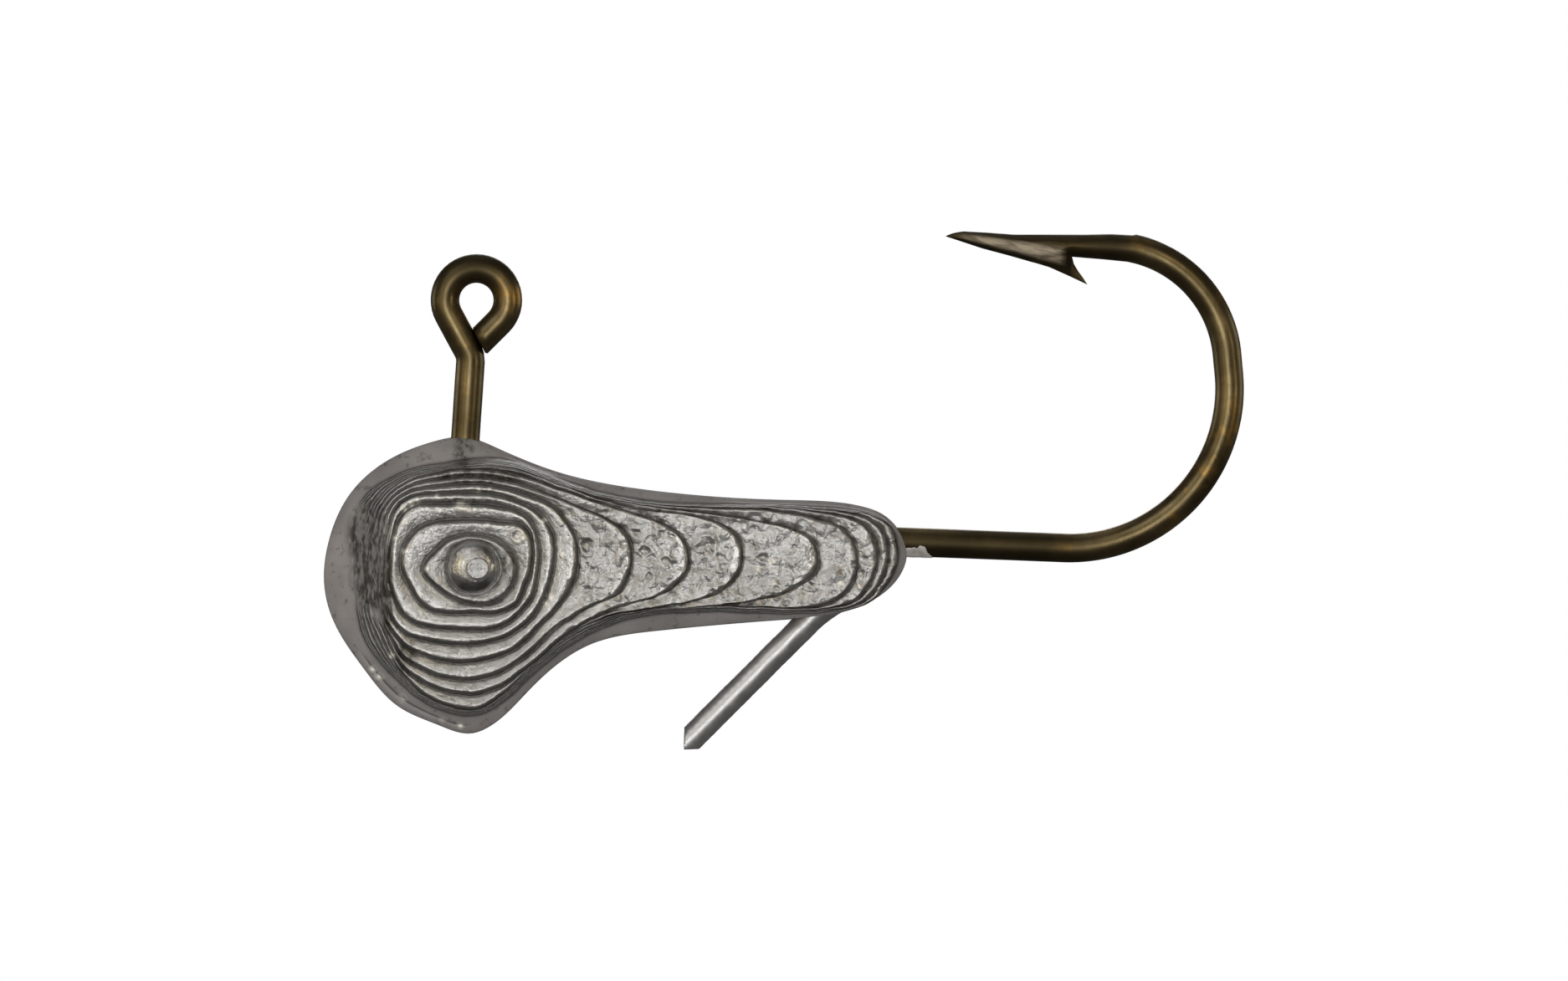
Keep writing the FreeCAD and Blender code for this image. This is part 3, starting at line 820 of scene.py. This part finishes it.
def point_sections(join_x, turns):
    """Rings from there to the tip, forged to a diamond and ground flat."""
    sections = []
    for x in np.linspace(join_x - 0.12, TIP_X, POINT_RINGS):
        top = np.interp(x, *zip(*POINT_TOP))
        foot = np.interp(x, *zip(*POINT_FOOT))
        half = np.interp(x, *zip(*POINT_PLAN))
        forged = fade(x, *FORGED_X)
        up, across = superellipse(turns, 2 - FORGED_EXPONENT * forged ** 2 * (3 - 2 * forged))
        flank = 1 - GROUND_DEPTH * fade(x, *GROUND_X)
        across = np.clip(across, -flank, flank) / flank ** 0.5
        middle = (top + foot) / 2
        height = (top - foot) / 2
        lean = math.radians(12) * fade(x, FORGED_X[0], join_x)
        xs = x - up * height * math.sin(lean)
        sections.append(np.column_stack([xs, across * half, middle - up * height]))
    return sections


def barb_mesh():
    """The barb: a wedge raised from the underside, thinner towards its tip."""
    points = np.array(BARB)
    tip = points[BARB_TIP]
    middle = points.mean(axis=0)
    reach = np.linalg.norm(points - tip, axis=1)
    half = 0.05 + 0.24 * np.clip(reach / 1.6, 0, 1)
    rings = []
    for sign, inset in ((-1, 1.0), (-1, 0.0), (1, 0.0), (1, 1.0)):
        flat = points + (middle - points) * 0.10 * inset
        depth = half * (1.0 if inset else 0.62)
        rings.append(np.column_stack([flat[:, 0], sign * depth, flat[:, 1]]))
    return tube_mesh("barb", rings)


def join_solids(obj, other):
    """Joins another solid on, and leaves no modifier."""
    modifier = obj.modifiers.new("join", "BOOLEAN")
    modifier.operation = "UNION"
    modifier.solver = "EXACT"
    modifier.object = other
    bpy.context.view_layer.update()
    graph = bpy.context.evaluated_depsgraph_get()
    mesh = bpy.data.meshes.new_from_object(obj.evaluated_get(graph))
    obj.modifiers.clear()
    obj.data = mesh
    bpy.data.objects.remove(other)
    mesh.polygons.foreach_set("use_smooth", [True] * len(mesh.polygons))


def hook_wire():
    """The bent wire with its ground point and its barb."""
    turns = np.arange(WIRE_AROUND) / WIRE_AROUND * 2 * math.pi
    route = wire_route(WIRE_SPACING)
    sections = round_sections(route, turns) + point_sections(route[-1][0], turns)
    wire = tube_mesh("hook", sections)
    join_solids(wire, barb_mesh())
    return wire


# ---- splash
def lead_splash():
    """A film of lead that ran out along the underside of the shank."""
    rings = []
    mean_turn, ragged_turn = SPLASH_TURN
    for x in np.linspace(SPLASH_START, SPLASH_END, SPLASH_RINGS):
        left = (SPLASH_END - x) / (SPLASH_END - SPLASH_START)
        ragged = noise.noise(Vector((x * 2.6, 5.0, 0.0)))
        ragged += 0.5 * noise.noise(Vector((x * 7.0, 9.0, 0.0)))
        reach = math.radians((mean_turn + ragged_turn * ragged) * min(1.0, 0.2 + 4.2 * left))
        turns = np.linspace(-0.6 * reach, reach, SPLASH_AROUND)
        edge = np.sin(np.linspace(0, math.pi, SPLASH_AROUND)) ** 0.5
        thick = SPLASH_THICK * (0.6 + 0.4 * min(1.0, 6 * left)) * edge
        lumpy = np.array([noise.noise(Vector((x * 3.0, turn * 2.0, 2.0))) for turn in turns])
        outer = WIRE_R + SPLASH_GAP + thick * (1 + 0.5 * lumpy)
        inner = np.full(SPLASH_AROUND, WIRE_R - SPLASH_ROOT)
        radii = np.concatenate([outer, inner[::-1]])
        angles = np.concatenate([turns, turns[::-1]])
        height = shank_height(x) - radii * np.cos(angles)
        rings.append(np.column_stack([np.full(len(radii), x), -radii * np.sin(angles), height]))
    return tube_mesh("splash", rings)


# ---- keeper
def keeper_spike():
    """The slanted spike, flared at its root, faintly ringed, and nipped at its tip."""
    root = np.array((KEEPER_ROOT[0], 0, KEEPER_ROOT[1]))
    tip = np.array((KEEPER_TIP[0], 0, KEEPER_TIP[1]))
    length = np.linalg.norm(tip - root)
    axis = (tip - root) / length
    side = np.array((axis[2], 0, -axis[0]))
    across = np.array((0, 1, 0))
    turns = np.linspace(0, 2 * math.pi, KEEPER_AROUND, endpoint=False)
    sections = []
    for place in np.linspace(0, length + KEEPER_OVERRUN, KEEPER_RINGS):
        radius = KEEPER_R + KEEPER_BEAD_HEIGHT * math.cos(place / KEEPER_BEAD * 2 * math.pi)
        flare = KEEPER_FLARE * max(0.0, 1 - place / KEEPER_FLARE_LENGTH) ** 2
        ring = []
        for turn in turns:
            c, s = math.cos(turn), math.sin(turn)
            reach = radius + KEEPER_UNEVEN * noise.noise(Vector((c * 1.2, s * 1.2, place * 1.3)))
            sideways = c * reach - flare * (0.5 - 0.5 * c) ** 2
            ring.append(root + axis * place + side * sideways + across * s * reach)
        ring = np.array(ring)
        ring[:, 0] = nipped(ring[:, 0], KEEPER_NIP_X)
        ring[:, 2] = nipped(ring[:, 2], KEEPER_NIP_Z)
        sections.append(ring)
    return tube_mesh("keeper", sections)


def nipped(values, limit):
    """Values cut off at a limit, with a hair of slope so that no faces collapse."""
    return np.where(values < limit, limit + (values - limit) * KEEPER_NIP_SLOPE, values)


# ---- materials
class Nodes:
    """Short forms for a material's node tree."""

    def __init__(self, name):
        self.material = bpy.data.materials.new(name)
        self.material.use_nodes = True
        self.tree = self.material.node_tree
        self.shader = self.tree.nodes["Principled BSDF"]

    def node(self, kind, inputs=(), **settings):
        """A shader node with its inputs linked or set."""
        node = self.tree.nodes.new("ShaderNode" + kind)
        for key, value in settings.items():
            setattr(node, key, value)
        for key, value in dict(inputs).items():
            if isinstance(value, bpy.types.NodeSocket):
                self.tree.links.new(value, node.inputs[key])
            else:
                node.inputs[key].default_value = value
        return node

    def place(self):
        return self.node("TexCoord").outputs["Object"]

    def noise(self, scale, detail, roughness=0.55):
        """Smooth noise with a number of waves per metre."""
        inputs = {"Vector": self.place(), "Scale": scale, "Detail": detail, "Roughness": roughness}
        return self.node("TexNoise", inputs).outputs["Fac"]

    def cells(self, scale):
        """Distance to the nearest of many scattered points, pushed about a little."""
        wander = self.node("TexNoise", {"Vector": self.place(), "Scale": scale * 0.7})
        inputs = {0: wander.outputs["Color"], "Scale": 0.5 / scale}
        moved = self.node("VectorMath", inputs, operation="SCALE").outputs[0]
        inputs = {0: self.place(), 1: moved}
        moved = self.node("VectorMath", inputs, operation="ADD").outputs[0]
        inputs = {"Vector": moved, "Scale": scale, "Smoothness": 0.5}
        return self.node("TexVoronoi", inputs, feature="SMOOTH_F1").outputs["Distance"]

    def ramp(self, value, stops):
        """Colours or numbers at rising positions of a value."""
        node = self.node("ValToRGB", {"Fac": value})
        while len(node.color_ramp.elements) < len(stops):
            node.color_ramp.elements.new(1.0)
        for element, (position, colour) in zip(node.color_ramp.elements, stops):
            element.position = position
            rgb = colour if isinstance(colour, tuple) else (colour,) * 3
            element.color = (*rgb, 1)
        return node.outputs["Color"]

    def span(self, value, first, last, low=0.3, high=0.7):
        """From the first colour or number to the last as a value goes from low to high."""
        return self.ramp(value, [(low, first), (high, last)])

    def mix(self, share, first, second):
        """A share of the way from the first colour to the second."""
        node = self.node("Mix", data_type="RGBA")
        for index, value in ((0, share), (6, first), (7, second)):
            if isinstance(value, bpy.types.NodeSocket):
                self.tree.links.new(value, node.inputs[index])
            else:
                value = (*value, 1) if isinstance(value, tuple) else value
                node.inputs[index].default_value = value
        return node.outputs[2]

    def math(self, operation, first, second, clamp=False):
        inputs = {0: first, 1: second}
        return self.node("Math", inputs, operation=operation, use_clamp=clamp).outputs[0]

    def times(self, first, second):
        return self.math("MULTIPLY", first, second)

    def streaks(self, turn, long, wide):
        """Noise drawn out at an angle in the side view, in streaks of a length and a width."""
        rotation = (0, -math.radians(turn), 0)
        inputs = {"Vector": self.place(), "Rotation": rotation, "Scale": (long, wide, wide)}
        turned = self.node("Mapping", inputs, vector_type="TEXTURE").outputs[0]
        inputs = {"Vector": turned, "Scale": 1.0, "Detail": 3.0}
        return self.node("TexNoise", inputs).outputs["Fac"]

    def along(self, direction, low, high):
        """0 to 1 as the place goes from low to high along a direction, in metres."""
        inputs = {0: self.place(), 1: direction}
        reach = self.node("VectorMath", inputs, operation="DOT_PRODUCT").outputs["Value"]
        inputs = {"Value": reach, "From Min": low, "From Max": high}
        return self.node("MapRange", inputs).outputs[0]

    def attribute(self, name):
        return self.node("Attribute", attribute_name=name).outputs["Fac"]

    def bump(self, height, distance, strength, below=None):
        """A bumped normal, on top of the one below it."""
        inputs = {"Height": height, "Distance": distance, "Strength": strength}
        if below:
            inputs["Normal"] = below
        return self.node("Bump", inputs).outputs["Normal"]

    def link(self, output, name):
        self.tree.links.new(output, self.shader.inputs[name])

    def set(self, **values):
        for name, value in values.items():
            self.shader.inputs[name].default_value = value


def lead_colour(n, cloud, grain, margin, wear_and_highlight):
    """Treads and margin, and over them smudges with painted shade, painted shade in the grooves,
    rubbed crests lightened partly as painted highlight, and beads with bright chips and painted
    glints.
    """
    bright = n.span(cloud, *TREAD_LEAD)
    bright = n.mix(n.span(grain, 0.42, 0.0, 0.34, 0.50), bright, TREAD_GRAIN)
    bright = n.mix(n.span(n.noise(1300, 2), 0.0, 0.4, 0.62, 0.74), bright, TREAD_STAIN)
    dull = n.span(cloud, *MARGIN_LEAD)
    dull = n.mix(n.span(grain, 0.5, 0.0, 0.33, 0.42), dull, MARGIN_PORE)
    colour = n.mix(margin, bright, dull)
    # Smudges: dark scribbles, and painted shade that deepens towards their middles.
    smudge_and_shade = n.attribute("smudge_and_shade")
    crossed = n.mix(0.5, n.streaks(62, 0.0016, 0.00018), n.streaks(-50, 0.0010, 0.00020))
    scribble = n.times(smudge_and_shade, n.span(crossed, 1.0, 0.12, 0.44, 0.58))
    shaded = n.times(n.times(smudge_and_shade, smudge_and_shade), 0.3)
    colour = n.mix(n.math("ADD", scribble, shaded, clamp=True), colour, SMUDGE_SHADE)
    # Painted shade in the grooves and on the eye.
    colour = n.mix(n.times(n.attribute("groove"), 0.90), colour, GROOVE_SHADE)
    # Rubbed crests, partly worn bright and partly painted highlight, with the eye's painted
    # highlights.
    colour = n.mix(n.times(wear_and_highlight, 0.35), colour, WORN_AND_HIGHLIGHT_LEAD)
    # Bright chips, and painted glints on the beads.
    return n.mix(n.attribute("chip_and_glint"), colour, CHIP_AND_GLINT_LEAD)


def lead_roughness(n, grain, margin, wear_and_highlight):
    """Treads are smoother than the margin, rubbed crests smoother still."""
    rough = n.mix(margin, n.span(grain, 0.30, 0.44), n.span(grain, 0.50, 0.62))
    rough = n.mix(wear_and_highlight, rough, (0.26, 0.26, 0.26))
    return n.mix(n.attribute("chip_and_glint"), rough, (0.46, 0.46, 0.46))


def lead_normal(n, grain, margin, on_tread, wear_and_highlight):
    """Grain, specks and the lumps of the tail, all fainter on the margin and the crests."""
    soft = n.span(margin, 0.9, 0.25, 0.0, 1.0)
    soft = n.times(soft, n.span(wear_and_highlight, 1.0, 0.3, 0.0, 1.0))
    coarse = n.bump(grain, 0.00006, soft)
    on_tail = n.math("MULTIPLY", n.along(X_AXIS, 0.0030, 0.0042), on_tread, clamp=True)
    lumps = n.ramp(n.cells(2300), [(0.0, 1.0), (0.35, 0.6), (0.8, 0.0)])
    lumps = n.bump(lumps, 0.00005, on_tail, coarse)
    return n.bump(n.noise(9000, 2), 0.000012, soft, lumps)


def lead_material():
    """Cast lead, bright on its treads and dull with oxide on its margin."""
    n = Nodes("cast lead")
    cloud = n.noise(700, 4)
    grain = n.noise(3000, 4, 0.6)
    margin = n.attribute("margin")
    on_tread = n.math("SUBTRACT", 1.0, margin)
    wear_and_highlight = n.math("MULTIPLY", n.attribute("crest"), on_tread, clamp=True)
    n.link(lead_colour(n, cloud, grain, margin, wear_and_highlight), "Base Color")
    n.link(lead_roughness(n, grain, margin, wear_and_highlight), "Roughness")
    metal = n.span(margin, 0.88, 0.22, 0.0, 1.0)
    n.link(n.math("MAXIMUM", metal, n.attribute("chip_and_glint")), "Metallic")
    n.link(lead_normal(n, grain, margin, on_tread, wear_and_highlight), "Normal")
    return n.material


def keeper_material():
    """Freshly broken, brighter lead."""
    n = Nodes("keeper lead")
    grain = n.noise(1800, 4)
    n.link(n.span(grain, *KEEPER_LEAD), "Base Color")
    n.link(n.span(grain, 0.36, 0.46), "Roughness")
    n.set(Metallic=0.95)
    n.link(n.bump(n.noise(1400, 2), 0.000002, 0.5), "Normal")
    return n.material


def splash_material():
    """A dull pale film of lead."""
    n = Nodes("smeared lead")
    n.link(n.span(n.noise(2600, 4), *SPLASH_LEAD, 0.3, 0.6), "Base Color")
    n.set(Metallic=0.25, Roughness=0.5)
    n.link(n.bump(n.noise(3000, 3), 0.00003, 0.8), "Normal")
    return n.material


def darker_duller_parts(n):
    """Where the lacquer is dull and dark: on the shank and behind the point."""
    shank = n.times(n.along(Z_AXIS, -0.0088, -0.0094), n.along(X_AXIS, 0.0255, 0.0225))
    behind = n.times(n.along(Z_AXIS, 0.0004, 0.0014), n.along(X_AXIS, 0.0272, 0.0252))
    return n.math("ADD", shank, behind, clamp=True)


def ground_facet(n):
    """Where the point is ground bare, between two slanted lines."""
    below = n.along((-0.148, 0, -1), -0.00554, -0.00532)
    above = n.along((0.262, 0, 1), 0.00736, 0.00756)
    ends = n.times(n.along(X_AXIS, 0.0188, 0.0196), n.along(X_AXIS, 0.0233, 0.0230))
    return n.times(n.times(below, above), ends)


def bronze_material():
    """Dark bronze lacquer with golden spots, darker and duller on the shank, ground off at the
    point.
    """
    n = Nodes("bronze wire")
    dark, middle, light = BRONZE
    colour = n.ramp(n.noise(500, 4), [(0.35, dark), (0.52, middle), (0.72, light)])
    colour = n.mix(n.span(n.noise(900, 3), 0.0, 0.7, 0.55, 0.68), colour, BRONZE_WORN)
    darker_duller = darker_duller_parts(n)
    colour = n.mix(n.times(darker_duller, 0.85), colour, DARKER_LACQUER)
    ground = ground_facet(n)
    patchy = n.times(ground, n.span(n.streaks(-13, 0.0009, 0.00016), 0.25, 1.0, 0.36, 0.58))
    n.link(n.mix(patchy, colour, GROUND_STEEL), "Base Color")
    n.link(n.mix(darker_duller, n.span(n.noise(1500, 2), 0.32, 0.39), (0.5, 0.5, 0.5)), "Roughness")
    n.link(n.span(ground, 1.0, 0.25, 0.0, 1.0), "Metallic")
    n.link(n.bump(n.noise(2200, 2), 0.000002, 0.15), "Normal")
    return n.material


def floor_material():
    n = Nodes("pale floor")
    n.link(n.span(n.noise(60, 2), *FLOOR), "Base Color")
    n.set(Roughness=0.9)
    return n.material


# ---- set
def softbox(name, place, size, brightness, colour=(1, 1, 1)):
    """A round soft light on the casting, equally bright at any size."""
    light = bpy.data.lights.new(name, "AREA")
    light.shape = "DISK"
    light.size = size
    light.energy = brightness * math.pi * math.pi * (size / 2) ** 2
    light.color = colour
    obj = bpy.data.objects.new(name, light)
    obj.location = place
    aim = Vector(LAMP_TARGET) - Vector(place)
    obj.rotation_euler = aim.to_track_quat("-Z", "Y").to_euler()
    bpy.context.scene.collection.objects.link(obj)


def studio():
    """A soft front light, warm lamps beside it and far out for glints, and weak fills behind."""
    softbox("front_softbox", (-0.02, -0.60, -0.01), 0.22, 4.9)
    softbox("lamp_left", (-0.31, -0.50, 0.05), 0.18, 2.4, (1.0, 0.88, 0.64))
    softbox("lamp_right", (0.20, -0.50, 0.24), 0.13, 5.5, (1.0, 0.87, 0.64))
    softbox("lamp_high_left", (-0.22, -0.42, 0.34), 0.30, 1.7, (0.97, 0.98, 1.0))
    softbox("lamp_far_left", (-0.50, -0.34, 0.02), 0.08, 5.0, WARM)
    softbox("lamp_far_right", (0.48, -0.36, 0.02), 0.10, 6.0, WARM)
    softbox("top_softbox", (0.01, 0.14, 0.60), 0.50, 0.4)
    softbox("back_softbox", (0.01, 0.60, 0.16), 0.45, 2.6)
    softbox("left_fill", (-0.55, 0.15, 0.05), 0.30, 1.0)
    softbox("right_fill", (0.55, 0.15, 0.05), 0.30, 1.0)


def white_world():
    """White behind the object, and a dim grey room for light and reflections."""
    world = bpy.data.worlds.new("studio")
    bpy.context.scene.world = world
    world.use_nodes = True
    tree = world.node_tree
    room = tree.nodes["Background"]
    room.inputs["Color"].default_value = ROOM
    white = tree.nodes.new("ShaderNodeBackground")
    white.inputs["Color"].default_value = (1, 1, 1, 1)
    path = tree.nodes.new("ShaderNodeLightPath")
    mix = tree.nodes.new("ShaderNodeMixShader")
    tree.links.new(path.outputs["Is Camera Ray"], mix.inputs[0])
    tree.links.new(room.outputs[0], mix.inputs[1])
    tree.links.new(white.outputs[0], mix.inputs[2])
    tree.links.new(mix.outputs[0], tree.nodes["World Output"].inputs["Surface"])


def pale_floor():
    """A round floor under the object, for other views."""
    radius = 0.09
    height = -0.031
    corners = 96
    turns = np.linspace(0, 2 * math.pi, corners, endpoint=False)
    around = [(radius * math.cos(turn), radius * math.sin(turn), height) for turn in turns]
    floor = new_object("floor", around, [tuple(range(corners))])
    floor.location = (0.012, 0, 0)
    floor.data.materials.append(floor_material())
    floor.visible_glossy = False


def camera():
    """A long lens that looks along +Y, square on to the side of the hook."""
    frame_width = 0.06184
    distance = 0.45
    data = bpy.data.cameras.new("camera")
    data.sensor_width = 36
    data.lens = 36 * distance / frame_width
    data.clip_start = 0.01
    obj = bpy.data.objects.new("camera", data)
    obj.location = (0.01213, -distance, -0.00752)
    obj.rotation_euler = (math.radians(90), 0, 0)
    bpy.context.scene.collection.objects.link(obj)
    bpy.context.scene.camera = obj


def dress(piece, material, node=None):
    """Rides a piece on the root body, in place of a plain CAD node if it has one."""
    piece.data.materials.clear()
    piece.data.materials.append(material)
    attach(piece, "root")
    if node:
        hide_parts(node)


dress(casting(), lead_material(), "lead_head")
dress(lead_splash(), splash_material())
dress(hook_wire(), bronze_material(), "jig_hook")
dress(keeper_spike(), keeper_material(), "bait_keeper")
white_world()
studio()
pale_floor()
camera()
bpy.context.scene.view_settings.view_transform = "Standard"
bpy.context.view_layer.update()
